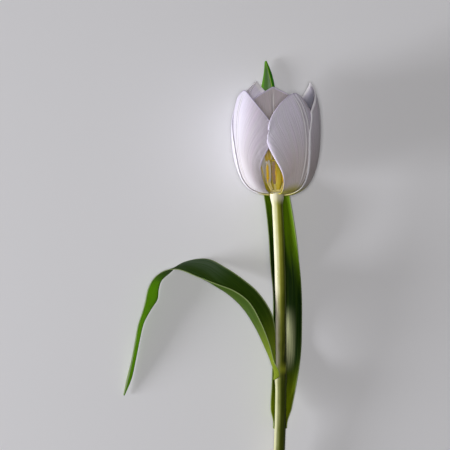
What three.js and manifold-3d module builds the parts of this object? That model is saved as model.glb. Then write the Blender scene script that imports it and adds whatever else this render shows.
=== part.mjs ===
// A white tulip, cut and laid down on a flat surface. Millimetres, +Z up.
// +Y runs from the cut end of the stem to the bloom, and +X lies to the right, seen from above.
import * as THREE from 'three';
import { mergeVertices } from 'three/addons/utils/BufferGeometryUtils.js';
import Module from 'manifold-3d';

const wasm = await Module();
wasm.setup();

// Stem
const STEM_RADIUS = 2.95;
const STEM_RADIUS_LOW = 3.1;
const STEM_SIDES = 16;
const STEM_STEPS = 26;
const STEM_CROWDING = 1.25;
const STEM_SLOPE = 0.104;
const CUT_SLANT = 0.5;
const NODE_SWELLING = 0.35;
const NODE_PLACE = -101;
const RECEPTACLE_RADIUS = 3.8;
const RECEPTACLE_HEIGHT = 2.8;

// Bloom: where its foot is, how its axis leans, and the outline of the cup as radius and height
const BLOOM_FOOT = new THREE.Vector3(0.7, 0, 23);
const BLOOM_TILT = THREE.MathUtils.degToRad(6);
const BLOOM_LEAN = THREE.MathUtils.degToRad(1.8);
const CUP_OUTLINE = [
  [4.3, 0.4],
  [9.4, 1.2],
  [14.6, 3.6],
  [17.8, 6.8],
  [20.3, 11.2],
  [22.4, 17.5],
  [23.8, 25],
  [24.4, 33],
  [24.4, 41],
  [23.8, 48],
  [22.4, 54.5],
  [20.4, 60],
  [18.6, 64],
];
const PETAL_THICKNESS = 0.8;
const PETAL_COLUMNS = 14;
const PETAL_ROWS = 20;
const INNER_LAYER = 1.35;
const LEFT_LAYER = 0.35;
const TUCK = 2.3;
const MIDRIB_HEIGHT = 0.3;
const MIDRIB_HALF_ANGLE = 3.5;

// Flower centre
const STAMENS = 6;
const STAMEN_TURN = -14;
const COLLAR_INNER = 2.3;
const COLLAR_OUTER = 3.7;
const COLLAR_FOOT = 3.1;
const COLLAR_HEIGHT = 1.0;
const FILAMENT_RADIUS = 0.75;
const FILAMENT_TOP = 8.2;
const ANTHER_FOOT = 7.2;
const ANTHER_LENGTH = 13;
const ANTHER_RADIUS = 1.35;
const ANTHER_RING = 5.3;
const ROUND_SIDES = 24;
const SMALL_SIDES = 8;
const ANTHER_STEPS = 9;
const OVARY_RADIUS = 3.0;
const OVARY_TOP = 18.5;

// Leaves
const LEAF_THICKNESS = 0.8;
const LEAF_MARGIN_THICKNESS = 0.62;
const LEAF_COLUMNS = 8;
const LEAF_ROWS = 42;
const SHEATH_CLEARANCE = 0.5;

const radians = THREE.MathUtils.degToRad;
const smooth = THREE.MathUtils.smoothstep;
const lerp = THREE.MathUtils.lerp;

function point(list) {
  return new THREE.Vector3(...list);
}

// A geometry as a solid for joining and cutting, with shared corners merged
function solidOf(geometry) {
  const bare = geometry.clone();
  bare.deleteAttribute('normal');
  bare.deleteAttribute('uv');
  const merged = mergeVertices(bare, 1e-4);
  return new wasm.Manifold(new wasm.Mesh({
    numProp: 3,
    vertProperties: new Float32Array(merged.attributes.position.array),
    triVerts: new Uint32Array(merged.index.array),
  }));
}

function geometryOf(solid) {
  const mesh = solid.getMesh();
  const geometry = new THREE.BufferGeometry();
  geometry.setAttribute('position', new THREE.BufferAttribute(mesh.vertProperties, 3));
  geometry.setIndex(new THREE.BufferAttribute(mesh.triVerts, 1));
  geometry.computeVertexNormals();
  return geometry;
}

function meshOf(name, geometry, colour, roughness) {
  const material = new THREE.MeshStandardMaterial({ color: colour, roughness, metalness: 0 });
  const mesh = new THREE.Mesh(geometry, material);
  mesh.name = name;
  return mesh;
}

// A thin closed blade round the middle surface at(u, v): u runs across from -1 to 1, v along from 0 to 1.
// Both faces are split into triangles alike.
function bladeGeometry(at, thickness, columns, rows) {
  const step = 1e-3;
  const position = [];
  for (const side of [1, -1]) {
    for (let i = 0; i <= rows; i += 1) {
      for (let j = 0; j <= columns; j += 1) {
        const v = i / rows;
        const u = (2 * j) / columns - 1;
        const across = at(Math.min(u + step, 1), v).sub(at(Math.max(u - step, -1), v));
        const along = at(u, Math.min(v + step, 1)).sub(at(u, Math.max(v - step, 0)));
        const normal = across.cross(along).normalize();
        const corner = at(u, v).addScaledVector(normal, (side * thickness(u, v)) / 2);
        position.push(corner.x, corner.y, corner.z);
      }
    }
  }
  const width = columns + 1;
  const far = width * (rows + 1);
  const index = [];
  for (let i = 0; i < rows; i += 1) {
    for (let j = 0; j < columns; j += 1) {
      const a = i * width + j;
      const b = a + 1;
      const c = a + width;
      const d = c + 1;
      index.push(a, b, d, a, d, c);
      index.push(far + a, far + d, far + b, far + a, far + c, far + d);
    }
  }
  const wall = (a, b) => index.push(far + a, far + b, b, far + a, b, a);
  for (let j = 0; j < columns; j += 1) {
    wall(j, j + 1);
    wall(rows * width + j + 1, rows * width + j);
  }
  for (let i = 0; i < rows; i += 1) {
    wall((i + 1) * width, i * width);
    wall(i * width + columns, (i + 1) * width + columns);
  }
  const geometry = new THREE.BufferGeometry();
  geometry.setAttribute('position', new THREE.Float32BufferAttribute(position, 3));
  geometry.setIndex(index);
  geometry.computeVertexNormals();
  return geometry;
}

// Petals stand round the bloom's own axis, +Z, and a turn of 0 faces -Y
const cup = new THREE.SplineCurve(CUP_OUTLINE.map(([r, h]) => new THREE.Vector2(r, h)));

// The share of the cup's outline at which it reaches a height
function cupShare(height) {
  let low = 0;
  let high = 1;
  for (let i = 0; i < 24; i += 1) {
    const middle = (low + high) / 2;
    if (cup.getPointAt(middle).y < height) low = middle;
    else high = middle;
  }
  return (low + high) / 2;
}

// How far half of a petal reaches round the cup, in degrees
function spread(side, v) {
  const opening = side.foot + (1 - side.foot) * smooth(v, side.opens, side.opens + 0.5);
  return side.width * opening * lerp(1, side.shoulder, smooth(v, side.closes, 1));
}

// A petal's middle surface. A side is half of the petal: its greatest half width in degrees, the part of it
// at the foot and at the shoulder, where along the petal it starts to open and to close, how far the shoulder
// lies below the tip, how blunt the tip and how round the shoulder is, and how deep the margin is tucked
// under its neighbour. rib is how far the midrib lies to the right, and flat is how far the left half lies
// inside the round of the cup, midway between margin and midrib.
function petalSurface(petal) {
  return (u, v) => {
    const side = u < 0 ? petal.left : petal.right;
    const out = Math.abs(u);
    const rim = 1 - (1 - out ** side.blunt) ** side.round;
    const share = v * cupShare(petal.tip - side.drop * rim);
    const outline = cup.getPointAt(share);
    const tangent = cup.getTangentAt(share);
    const centre = lerp(petal.centre, petal.tipCentre, v ** 6);
    const angle = u * spread(side, v);
    const rib = petal.rib * (1 - v ** 4);
    const midrib = MIDRIB_HEIGHT * Math.exp(-(((angle - rib) / MIDRIB_HALF_ANGLE) ** 2)) * smooth(v, 0.1, 0.4);
    const away = Math.max(rib - angle, 0) / (spread(petal.left, v) + rib);
    const flat = petal.flat * 4 * away * (1 - away) * smooth(v, 0.1, 0.35) * (1 - 0.6 * v ** 6);
    const tuck = side.tuck * Math.max(2 * out - 1, 0) ** 2 * smooth(v, 0.1, 0.35);
    const layer = midrib + petal.flare * v ** 3 - petal.layer - tuck - flat;
    const radius = outline.x + tangent.y * layer;
    const height = outline.y - tangent.x * layer;
    const turn = radians(centre + angle);
    return new THREE.Vector3(radius * Math.sin(turn), -radius * Math.cos(turn), height);
  };
}

function petal(name, form) {
  const thickness = (u, v) => PETAL_THICKNESS * (1 - 0.2 * Math.abs(u) ** 3 * v);
  const geometry = bladeGeometry(petalSurface(form), thickness, PETAL_COLUMNS, PETAL_ROWS);
  return meshOf(name, geometry, 0xe9e4ea, 0.55);
}

function petals() {
  return [
    petal('petal_inner_left', {
      centre: -68,
      tipCentre: -60.5,
      tip: 60.2,
      rib: 0,
      flat: 0,
      layer: INNER_LAYER + LEFT_LAYER,
      flare: -0.4,
      left: {
        width: 50, foot: 0.62, opens: 0.3, closes: 0.75, shoulder: 0.94,
        drop: 14.9, blunt: 1.45, round: 0.8, tuck: 0,
      },
      right: {
        width: 61, foot: 0.62, opens: 0.475, closes: 0.75, shoulder: 0.97,
        drop: 22.9, blunt: 1.55, round: 0.8, tuck: TUCK,
      },
    }),
    petal('petal_inner_right', {
      centre: 44,
      tipCentre: 31,
      tip: 57.9,
      rib: 6,
      flat: 2.4,
      layer: INNER_LAYER,
      flare: 0,
      left: {
        width: 52, foot: 0.62, opens: 0.34, closes: 0.84, shoulder: 0.805,
        drop: 19, blunt: 1.6, round: 0.62, tuck: 0,
      },
      right: {
        width: 44, foot: 0.62, opens: 0.3, closes: 0.75, shoulder: 0.55,
        drop: 11, blunt: 2.0, round: 0.7, tuck: 0,
      },
    }),
    petal('petal_inner_back', {
      centre: 180,
      tipCentre: 180,
      tip: 60.3,
      rib: 0,
      flat: 0,
      layer: INNER_LAYER + LEFT_LAYER,
      flare: -0.5,
      left: {
        width: 55, foot: 0.6, opens: 0.3, closes: 0.75, shoulder: 0.94,
        drop: 12.5, blunt: 1.1, round: 0.8, tuck: 0,
      },
      right: {
        width: 55, foot: 0.6, opens: 0.3, closes: 0.75, shoulder: 0.94,
        drop: 12.5, blunt: 1.1, round: 0.8, tuck: 0,
      },
    }),
    petal('petal_outer_left', {
      centre: -128,
      tipCentre: -150,
      tip: 63.5,
      rib: 0,
      flat: 0,
      layer: LEFT_LAYER,
      flare: -0.3,
      left: {
        width: 46, foot: 0.8, opens: 0.2, closes: 0.75, shoulder: 0.9,
        drop: 18, blunt: 1.05, round: 0.8, tuck: 0,
      },
      right: {
        width: 55, foot: 0.8, opens: 0.2, closes: 0.75, shoulder: 0.98,
        drop: 22, blunt: 1.05, round: 0.8, tuck: 0,
      },
    }),
    petal('petal_outer_right', {
      centre: 108,
      tipCentre: 103,
      tip: 61.4,
      rib: 0,
      flat: 0,
      layer: 0,
      flare: 0.9,
      left: {
        width: 60, foot: 0.87, opens: 0.2, closes: 0.75, shoulder: 0.85,
        drop: 15, blunt: 1.25, round: 0.8, tuck: 0,
      },
      right: {
        width: 54, foot: 0.8, opens: 0.2, closes: 0.75, shoulder: 0.96,
        drop: 15, blunt: 1.25, round: 0.8, tuck: 0,
      },
    }),
  ];
}

// A round solid on +Z from an outline of radius and height, which closes or ends on the axis
function turned(outline, sides) {
  const points = outline.map(([r, h]) => new THREE.Vector2(r, h));
  const geometry = new THREE.LatheGeometry(points, sides);
  return geometry.rotateX(Math.PI / 2);
}

function collar() {
  const top = COLLAR_FOOT + COLLAR_HEIGHT;
  return turned([
    [COLLAR_INNER, COLLAR_FOOT],
    [COLLAR_OUTER, COLLAR_FOOT],
    [COLLAR_OUTER, top],
    [COLLAR_INNER, top],
    [COLLAR_INNER, COLLAR_FOOT],
  ], ROUND_SIDES);
}

function filament() {
  const root = COLLAR_FOOT + COLLAR_HEIGHT * 0.3;
  const length = FILAMENT_TOP - root;
  const middle = (COLLAR_INNER + COLLAR_OUTER) / 2;
  const reach = ANTHER_RING - middle;
  const geometry = new THREE.CylinderGeometry(FILAMENT_RADIUS * 0.7, FILAMENT_RADIUS, length, SMALL_SIDES);
  geometry.rotateX(Math.PI / 2);
  geometry.translate(0, 0, length / 2);
  geometry.applyMatrix4(new THREE.Matrix4().makeShear(0, 0, 0, 0, 0, -reach / length));
  return geometry.translate(0, -middle, root);
}

function anther() {
  const outline = [[0, 0]];
  for (let i = 1; i < ANTHER_STEPS; i += 1) {
    const along = i / ANTHER_STEPS;
    outline.push([ANTHER_RADIUS * Math.sin(Math.PI * along ** 0.8) ** 0.45, along * ANTHER_LENGTH]);
  }
  outline.push([0, ANTHER_LENGTH]);
  const geometry = turned(outline, SMALL_SIDES);
  geometry.scale(1, 0.7, 1);
  return geometry.translate(0, -ANTHER_RING, ANTHER_FOOT);
}

function stamens() {
  let body = solidOf(collar());
  for (let i = 0; i < STAMENS; i += 1) {
    const turn = radians(STAMEN_TURN + (360 / STAMENS) * i);
    body = body.add(solidOf(filament().rotateZ(turn)));
    body = body.add(solidOf(anther().rotateZ(turn)));
  }
  return meshOf('stamens', geometryOf(body), 0xa8843c, 0.8);
}

// The pistil has three rounded sides and a stigma of three lobes
function pistil() {
  const foot = COLLAR_FOOT;
  const outline = [
    [0, foot],
    [1.95, foot],
    [1.95, foot + 1.2],
    [2.5, foot + 2.4],
    [OVARY_RADIUS, foot + 5],
    [OVARY_RADIUS, foot + 9],
    [2.6, OVARY_TOP - 2],
    [2.1, OVARY_TOP - 0.4],
    [3.1, OVARY_TOP + 0.8],
    [3.2, OVARY_TOP + 1.8],
    [1.8, OVARY_TOP + 2.4],
    [0, OVARY_TOP + 1.9],
  ];
  const geometry = turned(outline, ROUND_SIDES);
  const corners = geometry.attributes.position;
  for (let i = 0; i < corners.count; i += 1) {
    const corner = new THREE.Vector3().fromBufferAttribute(corners, i);
    const turn = Math.atan2(corner.y, corner.x);
    const depth = 0.16 * smooth(corner.z, foot + 1.5, OVARY_TOP + 1);
    const lobe = 1 + depth * (Math.cos(3 * turn) - 1);
    corners.setXYZ(i, corner.x * lobe, corner.y * lobe, corner.z);
  }
  return meshOf('pistil', geometry, 0xd9d79a, 0.6);
}

// The stem runs from the receptacle down to the cut end
function stemPath() {
  const axis = new THREE.Vector3(0, 0, 1).applyEuler(bloomTurn());
  const height = (y) => BLOOM_FOOT.z + STEM_SLOPE * y;
  const below = [
    [1.0, -6],
    [1.75, -21],
    [2.6, -45],
    [3.05, -73],
    [3.1, -99],
    [2.95, -120],
    [1.9, -150],
    [0.2, -189.5],
  ];
  return new THREE.CatmullRomCurve3([
    BLOOM_FOOT.clone().addScaledVector(axis, RECEPTACLE_HEIGHT),
    BLOOM_FOOT.clone(),
    ...below.map(([x, y]) => new THREE.Vector3(x, y, height(y))),
  ]);
}

// The stem's centre where it crosses a plane of constant y
function stemCentre(y) {
  let low = 0;
  let high = 1;
  for (let i = 0; i < 24; i += 1) {
    const middle = (low + high) / 2;
    if (stemLine.getPoint(middle).y > y) low = middle;
    else high = middle;
  }
  return stemLine.getPoint((low + high) / 2);
}

function stemRadius(y) {
  const low = lerp(STEM_RADIUS, STEM_RADIUS_LOW, smooth(-y, 85, 125));
  const node = NODE_SWELLING * Math.exp(-(((y - NODE_PLACE) / 3) ** 2));
  const flare = (RECEPTACLE_RADIUS - STEM_RADIUS) * smooth(y, -5.5, 0.5);
  return low + node + flare;
}

function stem() {
  const position = [];
  const index = [];
  for (let i = 0; i <= STEM_STEPS; i += 1) {
    const share = (i / STEM_STEPS) ** STEM_CROWDING;
    const centre = stemLine.getPointAt(share);
    const tangent = stemLine.getTangentAt(share);
    const side = new THREE.Vector3().crossVectors(tangent, new THREE.Vector3(0, 0, 1)).normalize();
    const up = new THREE.Vector3().crossVectors(side, tangent);
    const radius = stemRadius(centre.y);
    const slant = i === STEM_STEPS ? CUT_SLANT * radius : 0;
    for (let j = 0; j < STEM_SIDES; j += 1) {
      const turn = (j / STEM_SIDES) * 2 * Math.PI;
      const corner = centre.clone();
      corner.addScaledVector(side, radius * Math.cos(turn));
      corner.addScaledVector(up, radius * Math.sin(turn));
      corner.addScaledVector(tangent, slant * Math.cos(turn));
      position.push(corner.x, corner.y, corner.z);
    }
  }
  for (let i = 0; i < STEM_STEPS; i += 1) {
    for (let j = 0; j < STEM_SIDES; j += 1) {
      const a = i * STEM_SIDES + j;
      const b = i * STEM_SIDES + ((j + 1) % STEM_SIDES);
      index.push(a, b + STEM_SIDES, b, a, a + STEM_SIDES, b + STEM_SIDES);
    }
  }
  const top = position.length / 3;
  const head = stemLine.getPointAt(0);
  const foot = stemLine.getPointAt(1);
  position.push(head.x, head.y, head.z, foot.x, foot.y, foot.z);
  const last = STEM_STEPS * STEM_SIDES;
  for (let j = 0; j < STEM_SIDES; j += 1) {
    const next = (j + 1) % STEM_SIDES;
    index.push(top, j, next, top + 1, last + next, last + j);
  }
  const geometry = new THREE.BufferGeometry();
  geometry.setAttribute('position', new THREE.Float32BufferAttribute(position, 3));
  geometry.setIndex(index);
  geometry.computeVertexNormals();
  return meshOf('stem', geometry, 0xb9c08a, 0.5);
}

// The foot of a leaf wraps the stem as a sheath, which reaches lower by its drop at the keel. turn is where
// the keel lies round the stem, in degrees from +X.
function sheathPoint(clasp, u, v) {
  const share = v / clasp.share;
  const y = clasp.foot + clasp.length * share - clasp.drop * (1 - u * u) * (1 - share);
  const centre = stemCentre(y);
  const radius = stemRadius(y) + SHEATH_CLEARANCE + LEAF_THICKNESS / 2;
  const turn = radians(clasp.turn + u * clasp.wrap);
  return centre.add(new THREE.Vector3(radius * Math.cos(turn), 0, radius * Math.sin(turn)));
}

// A leaf's middle surface lies on three guide lines: one margin, keel and other margin. It is a smooth
// channel that opens out of the sheath, and a roll lifts the middle of the second wing.
function leafSurface(guides, clasp, roll) {
  const lines = guides.map((list) => new THREE.CatmullRomCurve3(list.map(point), false, 'centripetal'));
  return (u, v) => {
    const [first, keel, second] = lines.map((line) => line.getPoint(v));
    const surface = keel.multiplyScalar(1 - u * u);
    surface.addScaledVector(first, (u * (u - 1)) / 2);
    surface.addScaledVector(second, (u * (u + 1)) / 2);
    if (u > 0) surface.z += roll(v) * 4 * u * (1 - u);
    return sheathPoint(clasp, u, v).lerp(surface, smooth(v, 0, clasp.share));
  };
}

function leafThickness(u) {
  return lerp(LEAF_THICKNESS, LEAF_MARGIN_THICKNESS, u * u);
}

// The upper leaf clasps the stem, arches over to the left, turns over and hangs down to the surface
function upperLeaf() {
  const backMargin = [
    [4.2, -98.5, 9.2],
    [3.2, -89, 8.4],
    [0.6, -77, 7.2],
    [-1.7, -65.4, 6.4],
    [-8.9, -53.8, 4.5],
    [-16.7, -46.8, 2.6],
    [-27.8, -39.3, 1.2],
    [-38, -34.6, 0.6],
    [-52, -37.0, 0.45],
    [-59.0, -42.7, 0.45],
    [-63.4, -46.8, 0.45],
    [-65.0, -51.8, 0.45],
    [-65.6, -57.0, 0.45],
    [-69.2, -62.8, 0.45],
    [-73.3, -70.5, 0.45],
    [-75.7, -80.5, 0.5],
    [-78.0, -92, 0.6],
    [-80.2, -101.6, 0.75],
    [-83.9, -110.5, 1.0],
  ];
  const keel = [
    [-0.8, -99.8, 12.7],
    [-1.9, -92.1, 13.2],
    [-6.0, -82, 13.4],
    [-11.0, -71.3, 13.2],
    [-17.8, -61.2, 12.6],
    [-24.9, -54.2, 11.6],
    [-32.7, -48.2, 10.2],
    [-40.6, -42.4, 8.4],
    [-53.2, -38.8, 6.2],
    [-60.5, -41.8, 5.8],
    [-65.7, -45.9, 5.6],
    [-68.2, -51.4, 5.4],
    [-69.2, -57.1, 5.2],
    [-71.6, -62.9, 4.9],
    [-75.0, -71.1, 4.2],
    [-77.1, -81, 3.5],
    [-79.3, -92, 2.7],
    [-81.5, -101.5, 2.0],
    [-84.3, -110.9, 1.3],
  ];
  const frontMargin = [
    [1.7, -99.4, 17.0],
    [-0.7, -91.3, 18.8],
    [-3.6, -80.5, 20.6],
    [-8.1, -69.2, 21.4],
    [-14.5, -58.1, 21.2],
    [-22.4, -52.1, 19.6],
    [-32.7, -48.2, 17.2],
    [-42.4, -44.6, 14.2],
    [-54.3, -40.3, 11.2],
    [-61.5, -41.2, 10.6],
    [-67.4, -45.5, 10.6],
    [-70.6, -51.2, 10.4],
    [-72.0, -57.3, 9.9],
    [-73.4, -63.0, 9.2],
    [-76.2, -71.5, 7.8],
    [-78.1, -81.3, 6.4],
    [-80.2, -92, 4.8],
    [-82.7, -101.5, 3.2],
    [-84.7, -110.6, 1.6],
  ];
  const clasp = { foot: -99.3, length: 8.5, share: 1 / 18, drop: 2.2, turn: 180, wrap: 78 };
  const surface = leafSurface([frontMargin, keel, backMargin], clasp, () => 0);
  const geometry = bladeGeometry(surface, leafThickness, LEAF_COLUMNS, LEAF_ROWS);
  return meshOf('leaf_upper', geometry, 0x4f7a2a, 0.5);
}

// The lower leaf lies under the stem and the bloom, on the surface, and its right wing rolls down to it
function lowerLeaf() {
  const leftMargin = [
    [-1.5, -128, 10.2],
    [-2.4, -117.6, 9.8],
    [-1.7, -103, 7.0],
    [-1.2, -88, 4.6],
    [-1.0, -70, 3.8],
    [-1.1, -53, 5.2],
    [-2.5, -38, 7.4],
    [-3.5, -22, 8.6],
    [-4.9, -8, 8.0],
    [-6.8, 6, 4.2],
    [-7.6, 20, 2.0],
    [-8.4, 36, 1.7],
    [-9.0, 49, 0.9],
    [-8.0, 59, 0.7],
    [-6.15, 69, 0.9],
    [-5.6, 75.4, 1.2],
  ];
  const keel = [
    [2.7, -128, 5.3],
    [2.9, -117.6, 4.0],
    [3.8, -103, 1.6],
    [4.4, -88, 0.5],
    [4.4, -70, 0.3],
    [4.2, -53, 0.3],
    [3.7, -38, 0.3],
    [2.6, -22, 0.3],
    [1.4, -8, 0.3],
    [0.2, 6, 0.3],
    [-1.0, 20, 0.3],
    [-2.2, 36, 0.3],
    [-2.8, 49, 1.9],
    [-2.7, 59, 3.2],
    [-3.7, 69, 2.8],
    [-5.0, 76, 1.9],
  ];
  const rightMargin = [
    [6.9, -128, 10.2],
    [9.1, -117.6, 9.6],
    [12.1, -103, 6.4],
    [14.5, -88, 2.3],
    [15.1, -70, 0.5],
    [14.9, -53, 0.6],
    [13.7, -38, 3.2],
    [11.7, -22, 7.4],
    [9.5, -8, 8.0],
    [7.2, 6, 4.6],
    [5.4, 20, 2.1],
    [3.4, 36, 1.8],
    [1.6, 49, 0.9],
    [0.3, 59, 0.7],
    [-1.9, 69, 0.9],
    [-4.5, 75.4, 1.2],
  ];
  const roll = (v) => 3.4 * smooth(v, 0.12, 0.3) * (1 - smooth(v, 0.34, 0.52));
  const clasp = { foot: -128, length: 10.5, share: 1 / 15, drop: 1.5, turn: -90, wrap: 100 };
  const surface = leafSurface([leftMargin, keel, rightMargin], clasp, roll);
  const whole = solidOf(bladeGeometry(surface, leafThickness, LEAF_COLUMNS, LEAF_ROWS));
  const depth = 10;
  const below = new THREE.BoxGeometry(400, 400, depth).translate(0, 0, -depth / 2);
  return meshOf('leaf_lower', geometryOf(whole.subtract(solidOf(below))), 0x4f7a2a, 0.5);
}

function bloomTurn() {
  return new THREE.Euler(BLOOM_TILT - Math.PI / 2, 0, BLOOM_LEAN, 'ZXY');
}

function bloom() {
  const group = new THREE.Group();
  group.add(...petals(), stamens(), pistil());
  group.position.copy(BLOOM_FOOT);
  group.rotation.copy(bloomTurn());
  return group;
}

const stemLine = stemPath();
const flower = new THREE.Group();
flower.add(stem(), bloom(), upperLeaf(), lowerLeaf());

// The origin lies under the middle of the whole flower, on the surface
flower.updateMatrixWorld(true);
const box = new THREE.Box3().setFromObject(flower, true);
const middle = box.getCenter(new THREE.Vector3());
flower.position.set(-middle.x, -middle.y, -box.min.z);

export default flower;
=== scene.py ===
# %% [markdown]
# # A cut white tulip
#
# The flower lies on a pale surface and the camera looks straight down on it. It has a stem, a cup of white
# petals with a pointed gap at its foot, the stamens and pistil behind that gap, and two long leaves. Every
# piece stands in for a plain solid of the same name that the frame holds, and keeps that solid's form.

# %% Load the frame
import math

import bpy
import numpy as np
from mathutils import Matrix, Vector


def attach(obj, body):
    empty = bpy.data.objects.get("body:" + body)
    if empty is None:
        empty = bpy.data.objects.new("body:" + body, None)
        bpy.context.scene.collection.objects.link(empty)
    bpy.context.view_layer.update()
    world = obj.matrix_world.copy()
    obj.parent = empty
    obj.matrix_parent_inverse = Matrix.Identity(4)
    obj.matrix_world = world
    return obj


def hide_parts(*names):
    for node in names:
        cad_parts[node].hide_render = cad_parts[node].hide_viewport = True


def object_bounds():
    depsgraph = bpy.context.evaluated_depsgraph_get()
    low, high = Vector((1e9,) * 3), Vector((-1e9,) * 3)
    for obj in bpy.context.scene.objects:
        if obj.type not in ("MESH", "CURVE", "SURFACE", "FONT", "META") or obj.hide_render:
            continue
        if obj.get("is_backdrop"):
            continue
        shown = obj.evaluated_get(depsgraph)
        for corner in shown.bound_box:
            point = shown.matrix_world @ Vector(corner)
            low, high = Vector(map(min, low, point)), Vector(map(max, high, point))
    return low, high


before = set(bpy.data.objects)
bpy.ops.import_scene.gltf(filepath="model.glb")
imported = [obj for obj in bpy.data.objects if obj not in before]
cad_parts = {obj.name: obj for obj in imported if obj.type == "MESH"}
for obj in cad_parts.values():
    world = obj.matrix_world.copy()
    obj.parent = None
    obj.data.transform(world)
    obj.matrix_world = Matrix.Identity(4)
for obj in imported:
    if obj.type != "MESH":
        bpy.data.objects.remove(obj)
cad_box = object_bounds()
print("solids:", ", ".join(sorted(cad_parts)))

# %% [markdown]
# ## One set of measures
#
# A flower is easiest to think of in millimetres, counted from a point on the surface under the foot of the
# bloom. The frame counts in metres from the middle of the whole flower. One helper takes a place from the
# first to the second, so that the rest of the lesson stays in the flower's own millimetres.

# %% The flower's own place
FLOWER_ORIGIN = np.array([30.0522, 57.4326, 0.0])
BLOOM_FOOT = np.array([0.7, 0.0, 23.0])


def in_frame(places):
    """Places in the flower's millimetres, as metres in the frame."""
    return (np.asarray(places, float) + FLOWER_ORIGIN) / 1000


def add_object(name, data):
    made = bpy.data.objects.new(name, data)
    bpy.context.scene.collection.objects.link(made)
    return made


print("the foot of the bloom is at", in_frame(BLOOM_FOOT).round(4))

# %% [markdown]
# ## Camera
#
# The picture was taken square on, from well away, so its lines hardly converge. A long lens 1.4 m above the
# flower does the same. The middle of the picture lies to the left of the stem and below the bloom. The
# Standard view keeps white petals white, where the default view would turn them grey.

# %% Camera
PICTURE_WIDTH = 247.5
CAMERA_DISTANCE = 1375.0
SENSOR_WIDTH = 36.0
PICTURE_MIDDLE = np.array([-27.885, -15.675, BLOOM_FOOT[2]])

lens = bpy.data.cameras.new("camera")
lens.sensor_width = SENSOR_WIDTH
lens.lens = SENSOR_WIDTH * CAMERA_DISTANCE / PICTURE_WIDTH
lens.clip_end = 10
camera = add_object("camera", lens)
camera.location = in_frame(PICTURE_MIDDLE + [0, 0, CAMERA_DISTANCE])
bpy.context.scene.camera = camera
bpy.context.scene.view_settings.view_transform = "Standard"
print("lens", round(lens.lens, 1), "mm, camera at", [round(c, 3) for c in camera.location])

# %% [markdown]
# ## Writing node trees as text
#
# Geometry Nodes and materials are both trees of nodes. Wired by hand, each link is a line of its own. A small
# helper makes a node, fills its sockets with numbers or with other nodes' outputs, and gives back an output,
# so a tree reads like a formula.


# %% A helper for node trees
class Wiring:
    """Adds nodes to a tree. An input is a number, a colour or another node's output."""

    def __init__(self, tree):
        self.tree = tree

    def fill(self, socket, value):
        if isinstance(value, bpy.types.NodeSocket):
            self.tree.links.new(value, socket)
        else:
            socket.default_value = (*value, 1) if socket.type == "RGBA" else value

    def node(self, kind, inputs, output=0, **settings):
        made = self.tree.nodes.new(kind)
        for name, value in settings.items():
            setattr(made, name, value)
        for place, value in inputs.items():
            self.fill(made.inputs[place], value)
        return made.outputs[output] if made.outputs else made

    def math(self, operation, *values):
        return self.node("ShaderNodeMath", dict(enumerate(values)), operation=operation)

    def plus(self, first, second):
        return self.math("ADD", first, second)

    def times(self, first, *others):
        for other in others:
            first = self.math("MULTIPLY", first, other)
        return first

    def linear(self, value, scale, offset):
        return self.math("MULTIPLY_ADD", value, scale, offset)

    def from_middle(self, across):
        """Turns a place across a blade, 0 to 1, into how far it lies from the midrib, 0 to 1."""
        return self.math("ABSOLUTE", self.linear(across, 2.0, -1.0))

    def part(self, vector, axis):
        return self.node("ShaderNodeSeparateXYZ", {0: vector}, output=axis)

    def stored(self, name):
        """A number that the mesh carries, for a material."""
        return self.node("ShaderNodeAttribute", {}, output=2, attribute_name=name)

    def ramp(self, value, low, high, to_low=0.0, to_high=1.0, kind="SMOOTHSTEP"):
        places = {"Value": value, "From Min": low, "From Max": high, "To Min": to_low, "To Max": to_high}
        return self.node("ShaderNodeMapRange", places, interpolation_type=kind)

    def shape(self, kind, start, **inputs):
        """A node that works on a shape. An underscore in an input's name stands for a space."""
        return self.node(kind, {0: start, **{name.replace("_", " "): inputs[name] for name in inputs}})

    def noise(self, place, scale=1.0, detail=3.0, roughness=0.5):
        places = {"Vector": place, "Scale": scale, "Detail": detail, "Roughness": roughness}
        return self.node("ShaderNodeTexNoise", places)

    def joined(self, *parts):
        made = self.tree.nodes.new("GeometryNodeJoinGeometry")
        for part in parts:
            self.tree.links.new(part, made.inputs[0])
        return made.outputs[0]

    def attribute(self, name, kind="FLOAT"):
        return self.node("GeometryNodeInputNamedAttribute", {"Name": name}, data_type=kind)

    def store(self, geometry, name, value, kind="FLOAT", **more):
        places = {"Geometry": geometry, "Name": name, "Value": value, **more}
        return self.node("GeometryNodeStoreNamedAttribute", places, data_type=kind, domain="POINT")

    def scaled(self, vector, scale):
        return self.node("ShaderNodeVectorMath", {0: vector, "Scale": scale}, operation="SCALE")

    def multiplied(self, colour, tint):
        return self.mixed(1.0, colour, tint, "MULTIPLY")

    def mixed(self, share, first, second, blend_type="MIX"):
        made = self.tree.nodes.new("ShaderNodeMix")
        made.data_type = "RGBA"
        made.blend_type = blend_type
        for name, value in {"Factor": share, "A": first, "B": second}.items():
            self.fill(next(s for s in made.inputs if s.name == name and s.enabled), value)
        return next(s for s in made.outputs if s.enabled)


print("node helper ready")

# %% [markdown]
# ## Growing a piece
#
# A Geometry Nodes tree takes a simple start, such as a sheet or a line, and its named inputs hold the sizes.
# The finished shape is then read off as a plain mesh. It could stay a live modifier, but a plain mesh is what
# the frame works with.


# %% Helpers that run a Geometry Nodes tree
def new_geometry_tree(name, inputs):
    tree = bpy.data.node_groups.new(name, "GeometryNodeTree")
    for title, kind in inputs.items():
        tree.interface.new_socket(title, in_out="INPUT", socket_type="NodeSocket" + kind)
    tree.interface.new_socket("Piece", in_out="OUTPUT", socket_type="NodeSocketGeometry")
    start = tree.nodes.new("NodeGroupInput")
    return Wiring(tree), {title: start.outputs[title] for title in inputs}


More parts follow.
